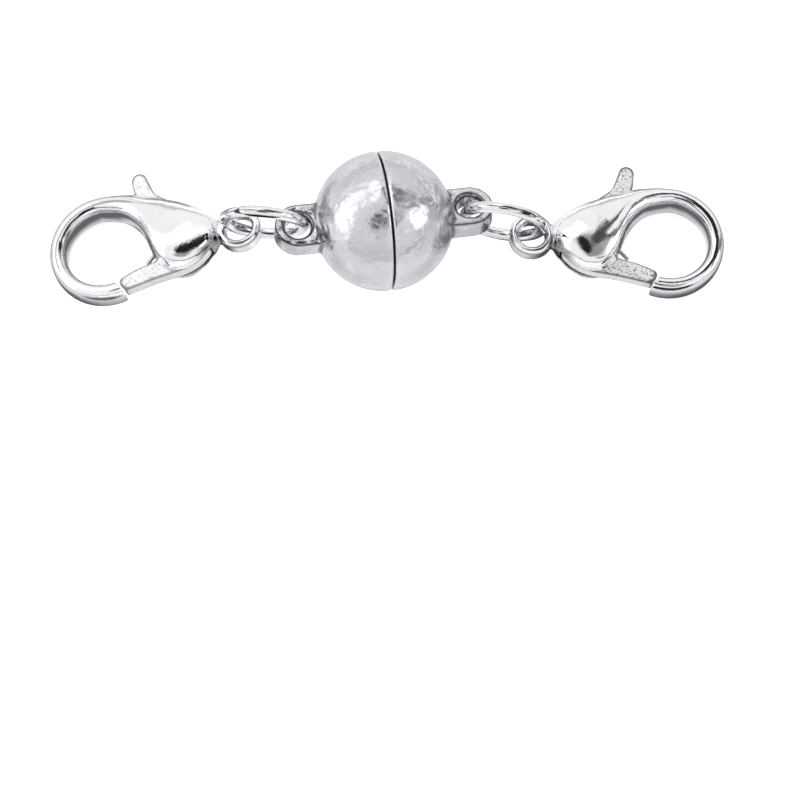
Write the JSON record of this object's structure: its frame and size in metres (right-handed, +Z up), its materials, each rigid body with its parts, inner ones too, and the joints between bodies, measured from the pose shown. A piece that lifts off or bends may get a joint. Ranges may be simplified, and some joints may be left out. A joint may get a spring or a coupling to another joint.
{
  "type": "double-ended lobster clasp with magnetic ball",
  "caption": "Jewellery clasp: a magnetic ball parts into halves, each linked by a jump ring to a sprung lobster claw.",
  "frame": {"origin": "on the surface that the clasp lies on, below the middle of its bounding box", "axes": "+X along the clasp from the left claw to the right claw, +Y away from the viewer toward the thumb tabs, +Z up"},
  "size_m": [0.0384, 0.0085, 0.008],
  "materials": {
    "satin_plated_cup": "bright silver-coloured plating, slightly satin and mottled",
    "magnet_face": "nickel-plated disc magnet with fine brushed lines",
    "ring_wire": "bright plated wire",
    "polished_claw": "mirror-bright plated casting",
    "grainy_lever": "bright plating over a finely grained cast face",
    "steel_pin": "plain steel, hidden",
    "spring_wire": "drawn spring wire"
  },
  "bodies": {
    "right_half": {"right_cup": "satin_plated_cup", "right_magnet": "magnet_face", "right_jump_ring": "ring_wire", "right_claw_body": "polished_claw", "right_claw_pin": "steel_pin"},
    "right_lever": {"right_claw_lever": "grainy_lever", "right_claw_spring": "spring_wire"},
    "left_half": {"left_cup": "satin_plated_cup", "left_magnet": "magnet_face", "left_jump_ring": "ring_wire", "left_claw_body": "polished_claw", "left_claw_pin": "steel_pin"},
    "left_lever": {"left_claw_lever": "grainy_lever", "left_claw_spring": "spring_wire"}
  },
  "joints": [
    {"name": "magnet_slide", "type": "slide", "parent": "right_half", "child": "left_half", "axis": [-0.9861, -0.1491, 0.0732], "range_m": [0, 0.012], "stiffness_N_per_m": 8, "springref_m": -0.01},
    {"name": "right_lever_hinge", "type": "hinge", "parent": "right_half", "child": "right_lever", "pos_m": [0.0117, -0.00011, 0.00162], "axis": [0.1045, -0.0013, 0.9945], "range_deg": [0, 24], "stiffness_Nm_per_rad": 0.006, "springref_deg": -17.19},
    {"name": "left_lever_hinge", "type": "hinge", "parent": "left_half", "child": "left_lever", "pos_m": [-0.01181, -0.00047, 0.00243], "axis": [0.2186, -0.0433, -0.9749], "range_deg": [0, 24], "stiffness_Nm_per_rad": 0.006, "springref_deg": -17.19}
  ]
}
